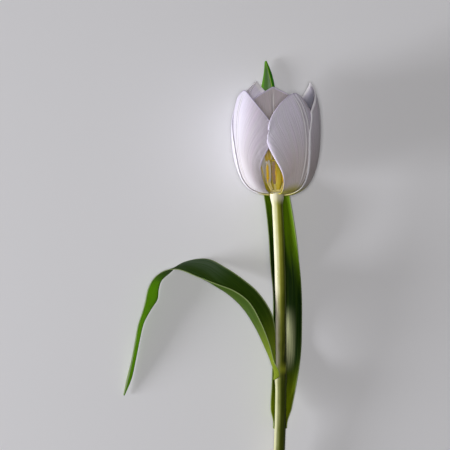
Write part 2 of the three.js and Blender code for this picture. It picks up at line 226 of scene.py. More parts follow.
def finish_tree(wiring, geometry, material, second=None, where_second=None):
    geometry = wiring.shape("GeometryNodeRealizeInstances", geometry)
    geometry = wiring.shape("GeometryNodeSetMaterial", geometry, Material=material)
    if second:
        geometry = wiring.shape("GeometryNodeSetMaterial", geometry, Material=second, Selection=where_second)
    end = wiring.tree.nodes.new("NodeGroupOutput")
    wiring.tree.links.new(geometry, end.inputs[0])


def grow(name, start, wiring, **values):
    """Runs a tree on a start mesh and returns the finished piece as an object with a plain mesh."""
    piece = add_object(name, start)
    modifier = piece.modifiers.new("grow", "NODES")
    modifier.node_group = wiring.tree
    for item in wiring.tree.interface.items_tree:
        title = item.name.lower().replace(" ", "_")
        if title in values:
            modifier[item.identifier] = values[title]
    graph = bpy.context.evaluated_depsgraph_get()
    mesh = bpy.data.meshes.new_from_object(piece.evaluated_get(graph), preserve_all_data_layers=True,
                                           depsgraph=graph)
    piece.modifiers.clear()
    piece.data = mesh
    mesh.name = name
    triangles = sum(len(polygon.vertices) - 2 for polygon in mesh.polygons)
    print(name, "has", triangles, "triangles and materials", [m and m.name for m in mesh.materials])
    return piece


def plain_mesh(name, places, faces=(), edges=()):
    mesh = bpy.data.meshes.new(name)
    mesh.from_pydata(in_frame(places).tolist(), edges, faces)
    return mesh


def carry(mesh, name, numbers):
    """Stores a number on each corner of a mesh."""
    stored = mesh.attributes.new(name, "FLOAT", "POINT")
    stored.data.foreach_set("value", np.asarray(numbers, float).ravel())


# %% [markdown]
# ## Smooth lines
#
# The outline of the cup, the stem and the margins of the leaves each pass through a few chosen points. A
# Catmull-Rom line runs through all of them with no corners, and it stays close to them where they are
# unevenly spaced if its power is a quarter.


# %% Helpers for smooth lines and steps
def smooth_line(points, power=0.25, repeat_ends=False):
    points = np.array(points, float)
    first = points[0] if repeat_ends else 2 * points[0] - points[1]
    last = points[-1] if repeat_ends else 2 * points[-1] - points[-2]
    chain = np.vstack([first, points, last])
    spans = len(points) - 1

    def line(share):
        t = np.clip(np.asarray(share, float), 0, 1) * spans
        i = np.minimum(t.astype(int), spans - 1)
        t = (t - i)[..., None]
        a, b, c, d = chain[i], chain[i + 1], chain[i + 2], chain[i + 3]
        gaps = (b - a, c - b, d - c)
        before, here, after = (np.sum(gap**2, axis=-1, keepdims=True) ** power for gap in gaps)
        before = np.where(before < 1e-4, here, before)
        after = np.where(after < 1e-4, here, after)
        leave = (b - a) / before - (c - a) / (before + here) + (c - b) / here
        reach = (c - b) / here - (d - b) / (here + after) + (d - c) / after
        leave, reach = leave * here, reach * here
        cubic = 2 * b - 2 * c + leave + reach
        square = 3 * c - 3 * b - 2 * leave - reach
        return b + t * (leave + t * (square + t * cubic))

    return line


def by_length(line):
    """The same line, counted by the share of its length."""
    shares = np.linspace(0, 1, 401)
    steps = np.linalg.norm(np.diff(line(shares), axis=0), axis=-1)
    lengths = np.concatenate([[0], np.cumsum(steps)]) / steps.sum()
    return lambda share: line(np.interp(share, lengths, shares))


def smooth(value, low, high):
    t = np.clip((value - low) / (high - low), 0, 1)
    return t * t * (3 - 2 * t)


def lerp(first, second, share):
    return first + (second - first) * share


def hill(value, width):
    """1 where the value is 0, and almost 0 from twice the width on."""
    return np.exp(-((value / width) ** 2))


# %% [markdown]
# ## A sheet of living tissue
#
# Petals and leaves are blades: thin in the middle, thinner at the margin, with veins that run from foot to
# tip. Each starts as a sheet with no thickness. Its UV map, called blade, says how far across and how far
# along every corner lies, so veins and colours follow the blade however it bends. The sheet's faces look out
# of the flower, because the outer skin of a blade differs from its inner skin.


# %% A sheet from a formula
def sheet(name, surface, columns, rows, faces_out=True):
    along, across = np.meshgrid(np.linspace(0, 1, rows + 1), np.linspace(0, 1, columns + 1), indexing="ij")
    places = surface(2 * across - 1, along).reshape(-1, 3)
    width = columns + 1
    corner = (np.arange(rows)[:, None] * width + np.arange(columns)).reshape(-1, 1)
    faces = corner + ([0, 1, width + 1, width] if faces_out else [0, width, width + 1, 1])
    mesh = plain_mesh(name, places, faces.tolist())
    blade = mesh.uv_layers.new(name="blade")
    flat = np.stack([across, along], axis=-1).reshape(-1, 2)
    blade.data.foreach_set("uv", flat[faces.reshape(-1)].ravel())
    return mesh


# %% [markdown]
# The tree below gives a sheet its body. It ripples the margins with a noise, moves the sheet in by half the
# thickness, extrudes it out by the whole thickness with the veins on top, and joins the flipped sheet as the
# other face. Solidify could do the thickness alone, but not the veins, the thin margin and the ripple.

# %% Geometry Nodes: a blade with veins
MARGIN_FROM = 0.72
THINNER_OUTWARD = 3.0
THINNER_TO_TIP = 8.0
VEIN_SHARPNESS = 3.0
SAME_PLACE = 1e-7
sizes = ("Thickness", "Margin thickness", "Veins", "Vein height", "Ripple height", "Ripple size", "Seed")
blade_inputs = {"Sheet": "Geometry", **dict.fromkeys(sizes, "Float"), "Material": "Material"}
blade_tree, given = new_geometry_tree("blade with veins", blade_inputs)
w = blade_tree
flat = w.attribute("blade", "FLOAT_VECTOR")
across = w.part(flat, "X")
along = w.part(flat, "Y")
outward = w.from_middle(across)
margin = w.ramp(outward, MARGIN_FROM, 1.0)
thinning = w.math("POWER", outward, THINNER_OUTWARD)
thinning = w.math("MAXIMUM", thinning, w.math("POWER", along, THINNER_TO_TIP))
thickness = w.ramp(thinning, 0.0, 1.0, given["Thickness"], given["Margin thickness"], kind="LINEAR")
wave = w.math("COSINE", w.times(across, given["Veins"], 2 * math.pi))
wave = w.math("POWER", w.linear(wave, 0.5, 0.5), VEIN_SHARPNESS)
fade = w.times(w.ramp(along, 0.02, 0.2), w.ramp(outward, 0.97, 0.8))
relief = w.times(wave, fade, given["Vein height"])
place = w.node("GeometryNodeInputPosition", {})
noise_place = w.node("ShaderNodeVectorMath", {0: place, 1: given["Ripple size"]}, operation="DIVIDE")
noise = w.node("ShaderNodeTexNoise", {"Vector": noise_place, "W": given["Seed"], "Detail": 1.0},
               noise_dimensions="4D")
ripple = w.times(w.linear(noise, 2.0, -1.0), given["Ripple height"])
ripple = w.times(ripple, w.times(margin, w.ramp(along, 0.25, 0.6)))
normal = w.node("GeometryNodeInputNormal", {})
skin = w.scaled(normal, w.plus(thickness, relief))
inward = w.scaled(normal, w.linear(thickness, -0.5, ripple))
base = w.store(given["Sheet"], "skin", skin, "FLOAT_VECTOR")
base = w.shape("GeometryNodeSetPosition", base, Offset=inward)
raised = w.shape("GeometryNodeExtrudeMesh", base, Offset_Scale=0.0, Individual=False)
top = raised.node.outputs["Top"]
lift = w.attribute("skin", "FLOAT_VECTOR")
raised = w.shape("GeometryNodeSetPosition", raised, Selection=top, Offset=lift)
raised = w.store(raised, "outer", 1.0, Selection=top)
closed = w.joined(raised, w.shape("GeometryNodeFlipFaces", base))
closed = w.shape("GeometryNodeMergeByDistance", closed, Distance=SAME_PLACE)
closed = w.shape("GeometryNodeRemoveAttribute", closed, Name="skin")
closed = w.shape("GeometryNodeSetShadeSmooth", closed)
finish_tree(w, closed, given["Material"])
print("the blade tree has", len(w.tree.nodes), "nodes")

# %% [markdown]
# ## The white of the petals
#
# A tulip petal is satin white with a cool cast. Fine veins fan out along it, and a thin line runs round its
# rim, a painted highlight on the outer petals. Painted highlights on the two ridges of the midrib and painted
# shade at their edges mark the midrib. Its foot is flushed with yellow inside the cup and with olive outside.
# One flat white would look like plastic, so the colour is mixed from noises that are stretched along the
# blade. The petals that turn from the light carry painted shade, a grey in their white, because the pale
# surface throws more light back at them than a dark ground would; their tips, and the outer left petal, carry
# a little painted light. The painted shade is strongest inside the cup, on the face of the right-hand petal,
# and that face looks dark from the side. A share of translucent shader lets light through, as the real tissue
# does.


# %% A helper that starts a material
def new_material(name):
    material = bpy.data.materials.new(name)
    material.use_nodes = True
    material.node_tree.nodes.clear()
    return material, Wiring(material.node_tree)


def blade_coordinates(w):
    """How far across and along a blade is, and 1 on its outer face."""
    flat = w.node("ShaderNodeUVMap", {}, uv_map="blade")
    across = w.part(flat, "X")
    along = w.part(flat, "Y")
    outer = w.stored("outer")
    return across, along, outer


def streaks(w, across, along, fine, long, seed, detail=3.0):
    """A noise that is stretched along the blade, from 0 to 1."""
    place = w.node("ShaderNodeCombineXYZ", {0: w.times(across, fine),
                                            1: w.times(along, long), 2: seed})
    return w.noise(place, detail=detail, roughness=0.6)


def relief_skin(w, colour, height, depth, roughness, gloss=0.5, strength=1.0):
    """A surface with a fine relief, and the relief on its own."""
    bump = w.node("ShaderNodeBump", {"Height": height, "Strength": strength, "Distance": depth})
    skin = w.node("ShaderNodeBsdfPrincipled", {"Base Color": colour, "Roughness": roughness,
                                               "Specular IOR Level": gloss, "Normal": bump})
    return skin, bump


def thick_tissue(material, w, *look, **more):
    """Ends a material that no light comes through."""
    w.node("ShaderNodeOutputMaterial", {"Surface": relief_skin(w, *look, **more)[0]})
    return material


def thin_tissue(material, w, colour, light_through, share, *look):
    """Ends a material of thin tissue: a satin skin mixed with light that comes through."""
    skin, bump = relief_skin(w, colour, *look)
    through = w.node("ShaderNodeBsdfTranslucent", {"Color": light_through, "Normal": bump})
    both = w.node("ShaderNodeMixShader", {0: share, 1: skin, 2: through})
    w.node("ShaderNodeOutputMaterial", {"Surface": both})
    return material


# %% Parts of the petal material
RIDGE = 2.6
GROOVE = 2.2
FINE_RIM = (0.015, (0.70, 0.65, 0.80))
# the bright rim of the outer petals is a painted highlight where their margins catch the light
BRIGHT_RIM = (0.035, (0.97, 0.96, 1.0))
CLEAR = (1.0, 1.0, 1.0)
# painted light: a slightly brighter, cooler petal tip
TIP_TINT = (1.04, 1.04, 1.10)
SHADE_FROM = 0.77
SHADE_TO = 1.05


def feathered(w, across, along, spread):
    """Runs from the midrib, 0, to the margin, and its lines sweep outward towards the tip."""
    return w.linear(w.math("POWER", along, 1.5), -spread, w.from_middle(across))


def with_tints(w, colour, blade, tints, low_tint, tip_from):
    """Paints shade on one side of the outer face, the inner face and the foot, and light at the tip."""
    across, along, outer = blade
    left_tint, right_tint, inner_tint = tints
    rightward = w.linear(w.math("MINIMUM", along, 0.5), 0.5, across)
    # painted shade on the side of the outer face that turns from the light
    tint = w.mixed(w.ramp(rightward, SHADE_FROM, SHADE_TO), left_tint, right_tint)
    # painted shade on the inner face, from just below the tip
    inner_tint = w.mixed(w.ramp(along, tip_from, tip_from - 0.12), CLEAR, inner_tint)
    colour = w.multiplied(colour, w.mixed(outer, inner_tint, tint))
    # painted light at the tip and painted shade at the foot
    return w.multiplied(colour, w.mixed(w.ramp(along, 0.95, 0.3), TIP_TINT, low_tint))


def with_midrib(w, colour, blade):
    """Paints light on the midrib's ridges and shade at their edges, by degrees round the cup from the midrib.
    """
    _, along, outer = blade
    from_rib = w.stored("from_rib")
    fading = w.times(w.ramp(along, 0.08, 0.35), w.ramp(along, 0.99, 0.9))
    aside = w.math("ABSOLUTE", from_rib)
    beyond = w.times(w.ramp(aside, 3.1, 3.7), w.ramp(aside, 5.4, 4.2))
    # painted shade at the edges of the ridges on the outer face
    dark = w.times(w.math("MAXIMUM", w.ramp(aside, 1.9, 1.2), beyond), w.times(outer, 0.55))
    beside_groove = w.math("ABSOLUTE", w.plus(from_rib, -GROOVE))
    # painted shade beside the groove on the inner face
    shaded = w.times(w.ramp(beside_groove, 1.6, 0.6, 0.0, 0.6), w.math("SUBTRACT", 1.0, outer))
    colour = w.mixed(w.times(w.plus(dark, shaded), fading), colour, (0.42, 0.39, 0.42))
    beside_ridge = w.math("ABSOLUTE", w.linear(outer, -RIDGE, aside))
    # painted highlight along each ridge
    lines = w.times(w.ramp(beside_ridge, 0.9, 0.3, 0.0, 0.9), fading)
    return w.mixed(lines, colour, (0.99, 0.98, 1.0))


def with_flush(w, colour, blade, veins, seed, inner_flush, outer_flush, flush_colour, foot_colour):
    """Flushes the foot in ragged stripes, as far up each face as its share of the petal says."""
    across, along, outer = blade
    ragged = w.linear(veins, 0.14, along)
    stripes = streaks(w, across, along, 22.0, 0.8, w.plus(seed, 2.0))
    # more pale cream stripes towards one margin: real cream streaks, and painted light on the shaded wall of
    # the cup
    stripes = w.plus(stripes, w.ramp(across, 0.66, 0.8, -0.02, 0.09))
    gold = w.mixed(w.ramp(stripes, 0.46, 0.36, 0.0, 0.7), flush_colour, (0.80, 0.48, 0.0))
    gold = w.mixed(w.ramp(stripes, 0.48, 0.60), gold, (1.0, 0.97, 0.86))
    gold = w.mixed(w.ramp(along, 0.3, 0.18), gold, foot_colour)
    flush = w.mixed(outer, gold, (0.56, 0.52, 0.10))
    reach = w.ramp(outer, 0.0, 1.0, inner_flush, outer_flush)
    flushed = w.ramp(w.math("DIVIDE", w.plus(ragged, -0.07), reach), 1.1, 0.6)
    return w.mixed(flushed, colour, flush)


# %% Petal material
PETAL_RELIEF = 0.0003
FINE_RELIEF = 0.0002


def petal_white(name, seed, tints, low_tint, rim=FINE_RIM, tip_from=1.1, **flush):
    rim_width, rim_colour = rim
    material, w = new_material(name)
    blade = blade_coordinates(w)
    across, along, _ = blade
    outward = w.from_middle(across)
    feather = feathered(w, across, along, 0.4)
    half_seed = w.linear(w.math("GREATER_THAN", across, 0.5), 7.0, seed)
    broad = streaks(w, feather, along, 7.0, 1.3, half_seed)
    veins = streaks(w, feather, along, 42.0, 2.2, w.plus(half_seed, 1.0))
    colour = w.mixed(w.ramp(veins, 0.3, 0.7), (0.90, 0.87, 0.95), (0.73, 0.69, 0.78))
    colour = w.mixed(w.ramp(broad, 0.38, 0.62, 0.6, 0.0), colour, (0.83, 0.82, 0.85))
    colour = w.mixed(w.ramp(broad, 0.50, 0.70, 0.0, 0.6), colour, (0.92, 0.85, 0.95))
    colour = with_tints(w, colour, blade, tints, low_tint, tip_from)
    # the line round the rim: a painted highlight on the outer petals, a thin lilac-grey line on the inner
    # ones
    on_rim = w.math("MAXIMUM", w.ramp(outward, 1 - 2 * rim_width, 1 - rim_width),
                    w.ramp(along, 1 - rim_width, 1 - rim_width / 2))
    colour = w.mixed(on_rim, colour, rim_colour)
    colour = with_midrib(w, colour, blade)
    colour = with_flush(w, colour, blade, veins, half_seed, **flush)
    height = w.plus(w.times(veins, 0.9), w.times(broad, 0.6))
    share = w.ramp(on_rim, 0.0, 1.0, 0.2, 0.0)
    through = w.mixed(0.6, colour, (0.97, 0.94, 0.93))
    return thin_tissue(material, w, colour, through, share, height, PETAL_RELIEF, 0.5, 0.25)


# %% The white of each petal
GOLD = (0.98, 0.76, 0.02)
YELLOW = (1.0, 0.86, 0.04)
CREAM = (0.80, 0.76, 0.45)
# The next seven colours are painted light and painted shade, as multipliers on the white: the first
# brightens, the others grey the sides, faces and feet that turn from the light.
BRIGHT = (1.06, 1.06, 1.05)
DIM = (0.70, 0.67, 0.66)
GREY = (0.80, 0.78, 0.75)
SHADED = (0.78, 0.75, 0.69)
BLUISH = (0.48, 0.51, 0.56)
PALE_GREY = (0.84, 0.80, 0.76)
BROWNISH = (0.76, 0.72, 0.67)
INNER = {"seed": 3.0, "inner_flush": 0.62, "flush_colour": GOLD, "foot_colour": YELLOW}
OUTER = {"inner_flush": 0.15, "flush_colour": CREAM, "foot_colour": CREAM, "rim": BRIGHT_RIM}
whites = {
    "petal_inner_left": petal_white("petal_front_white", tints=(CLEAR, DIM, SHADED), low_tint=CLEAR,
                                    outer_flush=0.10, **INNER),
    # the inner right petal: painted shade on its right side and towards its foot
    "petal_inner_right": petal_white("petal_olive_white", tints=(CLEAR, GREY, SHADED),
                                     low_tint=PALE_GREY, outer_flush=0.23, **INNER),
    "petal_inner_back": petal_white("petal_back_white", tints=(CLEAR, CLEAR, SHADED), low_tint=PALE_GREY,
                                    outer_flush=0.15, **INNER),
    # the outer left petal: painted light on one side of its outer face and on its inner face
    "petal_outer_left": petal_white("petal_left_white", 11.0, tints=(BRIGHT, CLEAR, BRIGHT), low_tint=CLEAR,
                                    outer_flush=0.12, **OUTER),
    # the outer right petal: painted shade all over, darkest on its face inside the cup
    "petal_outer_right": petal_white("petal_right_white", 17.0, tints=(GREY, GREY, BLUISH),
                                     low_tint=BROWNISH, outer_flush=0.24, tip_from=1.0, **OUTER),
}
print("petal materials:", ", ".join(white.name for white in whites.values()))

# %% [markdown]
# ## The cup of petals
#
# Seen from the side, the bloom is a cup: a flat foot, full sides and a mouth that closes a little. A petal is
# a strip of that cup, widest at its middle and pointed at its tip. Its margins lie lower than its tip by an
# amount that grows outwards. Its midrib is a shallow groove between two fine ridges.

# %% The outline of the cup
BLOOM_TILT = math.radians(6)
BLOOM_LEAN = math.radians(1.8)
CUP_OUTLINE = [(4.3, 0.4), (9.4, 1.2), (14.6, 3.6), (17.8, 6.8), (20.3, 11.2), (22.4, 17.5), (23.8, 25),
               (24.4, 33), (24.4, 41), (23.8, 48), (22.4, 54.5), (20.4, 60), (18.6, 64)]
cup = by_length(smooth_line(CUP_OUTLINE, power=0, repeat_ends=True))
cup_shares = np.linspace(0, 1, 1001)
cup_heights = cup(cup_shares)[:, 1]
bloom_turn = np.array(Matrix.Rotation(BLOOM_LEAN, 3, "Z") @ Matrix.Rotation(BLOOM_TILT - math.pi / 2, 3, "X"))


def in_bloom(places):
    """Places round the bloom's own upright axis, in the lying flower."""
    return np.asarray(places) @ bloom_turn.T + BLOOM_FOOT


print("the cup is", round(2 * cup(cup_shares)[:, 0].max(), 1), "mm wide")


# %% The form of one petal
INNER_LAYER = 1.35
LEFT_LAYER = 0.35
TUCK = 2.3
MARGIN_CURL = 0.35
MARGIN_HUG = 0.45
RIDGE_WIDTH = 1.2
GROOVE_WIDTH = 1.6


def spread(side, v):
    """How far half of a petal reaches round the cup, in degrees."""
    opening = side["foot"] + (1 - side["foot"]) * smooth(v, side["opens"], side["opens"] + 0.5)
    return side["width"] * opening * lerp(1, side["shoulder"], smooth(v, side["closes"], 1))


def angle_from_rib(form, u, v):
    """How far a place on a petal lies to the right of its midrib, in degrees."""
    return u * np.where(u < 0, spread(form["left"], v), spread(form["right"], v)) - form["rib"] * (1 - v**4)


def petal_surface(form):
    def at(u, v):
        def side(name):
            return np.where(u < 0, form["left"][name], form["right"][name])

        out = np.abs(u)
        rim = 1 - (1 - out ** side("blunt")) ** side("rounding")
        share = v * np.interp(form["tip"] - side("drop") * rim, cup_heights, cup_shares)
        outline = cup(share)
        tangent = cup(np.minimum(share + 1e-3, 1)) - cup(np.maximum(share - 1e-3, 0))
        tangent /= np.linalg.norm(tangent, axis=-1, keepdims=True)
        rib = form["rib"] * (1 - v**4)
        from_rib = angle_from_rib(form, u, v)
        angle = from_rib + rib
        ridges = hill(np.abs(from_rib) - RIDGE, RIDGE_WIDTH) - 0.5 * hill(from_rib, GROOVE_WIDTH)
        midrib = form["rib_height"] * ridges * smooth(v, 0.1, 0.4)
        under = side("tuck") * np.maximum(2 * out - 1, 0) ** 2 * smooth(v, 0.1, 0.35)
        under = under + side("curl") * smooth(out, 0.96, 1) * smooth(v, 0.3, 0.5)
        under = under + form["hug"] * smooth(out, 0.6, 1)
        away = np.maximum(-from_rib, 0) / (spread(form["left"], v) + rib)
        under = under + form["flat"] * 4 * away * (1 - away) * smooth(v, 0.1, 0.35) * (1 - 0.6 * v**6)
        layer = midrib + form["flare"] * v**3 - form["layer"] - under
        radius = outline[..., 0] + tangent[..., 1] * layer
        height = outline[..., 1] - tangent[..., 0] * layer
        turn = np.radians(lerp(form["centre"], form["tip_centre"], v**6) + angle)
        return in_bloom(np.stack([radius * np.sin(turn), -radius * np.cos(turn), height], axis=-1))

    return at


# %% [markdown]
# A petal's middle and its tip have a place round the cup, in degrees. Its tip has a height, and the petal
# lies at a depth and leans out by a flare. Each half of it has its own sizes: its greatest width in degrees,
# the part of that width at the foot and at the shoulder, where along the petal it opens and closes, how far
# the shoulder lies below the tip, how blunt the tip and how round the shoulder is, and how deep its margin is
# tucked or curled in.


# %% The five petals' sizes
def half(width, foot, opens, closes, shoulder, drop, blunt, rounding, tuck=0.0, curl=0.0):
    return dict(locals())


def petal(centre, tip_centre, tip, layer, flare, left, right, rib_height=0.2, rib=0, hug=0, flat=0):
    return dict(locals())


PETALS = {
    "petal_inner_left": petal(
        -68, -60.5, 60.2, INNER_LAYER + LEFT_LAYER, -0.4, rib_height=0.12,
        left=half(50, 0.62, 0.3, 0.75, 0.94, 14.9, 1.45, 0.8),
        right=half(61, 0.62, 0.475, 0.75, 0.97, 22.9, 1.55, 0.8, tuck=TUCK)),
    "petal_inner_right": petal(
        44, 31, 57.9, INNER_LAYER, 0, rib_height=0.32, rib=6, flat=2.4,
        left=half(52, 0.62, 0.34, 0.84, 0.805, 19, 1.6, 0.62, curl=MARGIN_CURL),
        right=half(44, 0.62, 0.3, 0.75, 0.55, 11, 2.0, 0.7)),
    "petal_inner_back": petal(
        180, 180, 60.3, INNER_LAYER + LEFT_LAYER, -0.5, rib_height=0.16,
        left=half(55, 0.6, 0.3, 0.75, 0.94, 12.5, 1.1, 0.8),
        right=half(55, 0.6, 0.3, 0.75, 0.94, 12.5, 1.1, 0.8)),
    "petal_outer_left": petal(
        -128, -150, 63.5, LEFT_LAYER, -0.3, hug=MARGIN_HUG,
        left=half(46, 0.8, 0.2, 0.75, 0.9, 18, 1.05, 0.8),
        right=half(55, 0.8, 0.2, 0.75, 0.98, 22, 1.05, 0.8)),
    "petal_outer_right": petal(
        108, 103, 61.4, 0, 0.9, hug=MARGIN_HUG,
        left=half(60, 0.87, 0.2, 0.75, 0.85, 15, 1.25, 0.8),
        right=half(54, 0.8, 0.2, 0.75, 0.96, 15, 1.25, 0.8)),
}


# %% Grow the petals
PETAL_COLUMNS = 100
PETAL_ROWS = 90
pieces = {}
for number, (name, form) in enumerate(PETALS.items()):
    start = sheet(name, petal_surface(form), PETAL_COLUMNS, PETAL_ROWS)
    along, across = np.meshgrid(np.linspace(0, 1, PETAL_ROWS + 1), np.linspace(-1, 1, PETAL_COLUMNS + 1),
                                indexing="ij")
    carry(start, "from_rib", angle_from_rib(form, across, along))
    pieces[name] = grow(name, start, blade_tree, thickness=0.00055, margin_thickness=0.0004, veins=23.0,
                        vein_height=0.000015, ripple_height=0.00025, ripple_size=0.009, seed=float(number),
                        material=whites[name])

# %% [markdown]
# ## Stem
#
# The stalk is round and waxy. Its colour holds painted light and shade: pale cream on the side that faces
# the light on the left, olive in the middle, dark green on the side turned away, and darker lower down. It
# swells at the joint of the upper leaf and under the petals, and it ends in a slanting cut. It follows a
# path, so a tree sweeps a circle along the path, with the radius stored on each point.

# %% The stem's path and radius
bloom_axis = bloom_turn @ [0, 0, 1]
STEM_SLOPE = 0.104
STEM_PLACES = [(1.0, -6), (1.75, -21), (2.6, -45), (3.05, -73), (3.1, -99), (2.95, -120), (1.9, -150),
               (0.2, -189.5)]
RECEPTACLE_HEIGHT = 2.8
CUT_SLANT = 0.5
stem_points = [BLOOM_FOOT + bloom_axis * RECEPTACLE_HEIGHT, BLOOM_FOOT]
stem_points += [(x, y, BLOOM_FOOT[2] + STEM_SLOPE * y) for x, y in STEM_PLACES]
stem_line = by_length(smooth_line(stem_points))
STEM_RADIUS = 2.95
STEM_FOOT_RADIUS = 3.1
JOINT = -99
SWELLING_PLACE = JOINT - 2
SWELLING_LENGTH = 3
JOINT_SWELLING = 0.35
NECK_SWELLING = 0.85
RIM_ROUND = 0.3


def stem_radius(y):
    plain = lerp(STEM_RADIUS, STEM_FOOT_RADIUS, smooth(-y, 85, 125))
    at_joint = JOINT_SWELLING * hill(y - SWELLING_PLACE, SWELLING_LENGTH)
    return plain + at_joint + NECK_SWELLING * smooth(y, -5.5, 0.5)


stem_shares = np.linspace(0, 1, 260) ** 1.7
stem_path = stem_line(stem_shares)
print("the stem runs", round(float(np.linalg.norm(np.diff(stem_path, axis=0), axis=1).sum()), 1), "mm")

# %% Geometry Nodes: a stalk swept along its path
STALK_RIBS = 9.0
stalk_inputs = {"Path": "Geometry", "Sides": "Int", "Rib height": "Float", "Slant": "Float",
                "Material": "Material"}
stalk_tree, given = new_geometry_tree("stalk along a path", stalk_inputs)
w = stalk_tree
line = w.shape("GeometryNodeMeshToCurve", given["Path"])
middle = w.node("GeometryNodeInputPosition", {})
way = w.node("GeometryNodeInputTangent", {})
line = w.store(line, "middle", middle, "FLOAT_VECTOR")
line = w.store(line, "way", way, "FLOAT_VECTOR")
radius = w.attribute("radius_here")
ring = w.node("GeometryNodeCurvePrimitiveCircle", {"Resolution": given["Sides"], "Radius": 1.0})
tube = w.shape("GeometryNodeCurveToMesh", line, Profile_Curve=ring, Scale=radius, Fill_Caps=True)
middle = w.attribute("middle", "FLOAT_VECTOR")
way = w.attribute("way", "FLOAT_VECTOR")
cut = w.attribute("cut")
here = w.node("GeometryNodeInputPosition", {})
spoke = w.node("ShaderNodeVectorMath", {0: here, 1: middle}, operation="SUBTRACT")
turn = w.math("ARCTAN2", w.part(spoke, "Z"), w.part(spoke, "X"))
ribs = w.times(w.math("SINE", w.times(turn, STALK_RIBS)), given["Rib height"])
out_way = w.node("ShaderNodeVectorMath", {0: spoke}, operation="NORMALIZE")
tube = w.shape("GeometryNodeSetPosition", tube, Offset=w.scaled(out_way, ribs))
sideways = w.times(w.part(spoke, "X"), given["Slant"])
slide = w.scaled(way, w.times(sideways, cut, -1.0))
tube = w.shape("GeometryNodeSetPosition", tube, Offset=slide)
for name in ("middle", "way"):
    tube = w.shape("GeometryNodeRemoveAttribute", tube, Name=name)
tube = w.shape("GeometryNodeSetShadeSmooth", tube)
finish_tree(w, tube, given["Material"])
print("the stalk tree has", len(w.tree.nodes), "nodes")


# %% Stem material
JOINT_PLACE = float(in_frame([0, JOINT, 0])[1])
BLOOM_PLACE = float(in_frame([0, 0, 0])[1])
STEM_RELIEF = 0.00015


def stem_skin():
    material, w = new_material("stem_skin")
    place = w.node("ShaderNodeTexCoord", {}, output=3)
    along = w.part(place, "Y")
    # which way the surface faces, left to right: painted light on the left side, painted shade on the right
    side = w.part(w.node("ShaderNodeNewGeometry", {}, output=1), "X")
    long = w.node("ShaderNodeMapping", {"Vector": place, "Scale": (900.0, 28.0, 900.0)})
    fibres = w.noise(long, detail=4.0, roughness=0.6)
    cloud = w.noise(place, scale=90.0, detail=2.0)
    side = w.plus(side, w.linear(cloud, 0.4, -0.2))
    # painted shade: the middle and right of the stem grow darker lower down
    low = w.ramp(along, BLOOM_PLACE - 0.02, JOINT_PLACE)
    side = w.linear(low, 0.2, side)
    light_side = w.mixed(low, (0.82, 0.80, 0.56), (0.86, 0.80, 0.66))
    middle = w.mixed(low, (0.42, 0.43, 0.06), (0.13, 0.155, 0.008))
    colour = w.mixed(w.ramp(side, -0.75, 0.05), light_side, middle)
    dark_side = w.mixed(low, (0.08, 0.105, 0.001), (0.014, 0.022, 0.001))
    colour = w.mixed(w.ramp(side, 0.05, 0.75), colour, dark_side)
    colour = w.mixed(w.ramp(fibres, 0.42, 0.75, 0.0, 0.25), colour, (0.30, 0.33, 0.04))
    below = w.ramp(along, JOINT_PLACE + 0.001, JOINT_PLACE - 0.003, 0.0, 0.65)
    # below the joint the stem is greener, with the same painted light and shade across it
    green = w.mixed(w.ramp(side, -0.9, 0.3), (0.42, 0.46, 0.17), (0.05, 0.07, 0.004))
    colour = w.mixed(below, colour, green)
    near_joint = w.ramp(along, JOINT_PLACE + 0.001, JOINT_PLACE + 0.009)
    near_joint = w.math("SUBTRACT", w.ramp(along, JOINT_PLACE, JOINT_PLACE + 0.004), near_joint)
    colour = w.mixed(w.times(near_joint, 0.6), colour, (0.40, 0.45, 0.03))
    under_bloom = w.ramp(along, BLOOM_PLACE - 0.005, BLOOM_PLACE, 0.0, 0.6)
    colour = w.mixed(under_bloom, colour, (0.84, 0.80, 0.66))
    cut = w.stored("cut")
    colour = w.mixed(w.ramp(cut, 0.5, 1.0), colour, (0.72, 0.74, 0.45))
    return thick_tissue(material, w, colour, fibres, STEM_RELIEF, 0.5, gloss=0.08)


stem_material = stem_skin()
print("the upper leaf joins at", round(JOINT_PLACE, 3), "and the bloom starts at", round(BLOOM_PLACE, 3))

# %% Grow the stem
path = plain_mesh("stem", stem_path, edges=[(i, i + 1) for i in range(len(stem_path) - 1)])
from_top = np.linalg.norm(stem_path - stem_path[0], axis=1)
rounded = np.sqrt(1 - (1 - np.clip(from_top / RIM_ROUND, 0, 1)) ** 2)
carry(path, "radius_here", (stem_radius(stem_path[:, 1]) - RIM_ROUND * (1 - rounded)) / 1000)
carry(path, "cut", np.arange(len(stem_path)) == len(stem_path) - 1)
pieces["stem"] = grow("stem", path, stalk_tree, sides=48, rib_height=0.00004, slant=CUT_SLANT,
                      material=stem_material)
for polygon in pieces["stem"].data.polygons:
    polygon.use_smooth = len(polygon.vertices) == 4

# %% [markdown]
# ## Leaves
#
# A tulip leaf is a long channel that clasps the stem at its foot. Three lines describe it: one margin, the
# keel and the other margin. The surface between them is a parabola across, and it opens out of the sheath
# round the stem. The same blade tree as for the petals gives it its thickness and its parallel veins.

# %% The form of a leaf
SHEATH_CLEARANCE = 0.55
stem_fine = stem_line(np.linspace(1, 0, 4001))


def sheath(clasp, u, v):
    """The foot of a leaf, wrapped round the stem."""
    share = v / clasp["share"]
    y = clasp["foot"] + clasp["length"] * share - clasp["drop"] * (1 - u**2) * (1 - share)
    centre = np.stack([np.interp(y, stem_fine[:, 1], stem_fine[:, i]) for i in range(3)], axis=-1)
    radius = stem_radius(y) + SHEATH_CLEARANCE
    turn = np.radians(clasp["turn"] + u * clasp["wrap"])
    ring = np.stack([radius * np.cos(turn), 0 * turn, radius * np.sin(turn)], axis=-1)
    return centre + ring


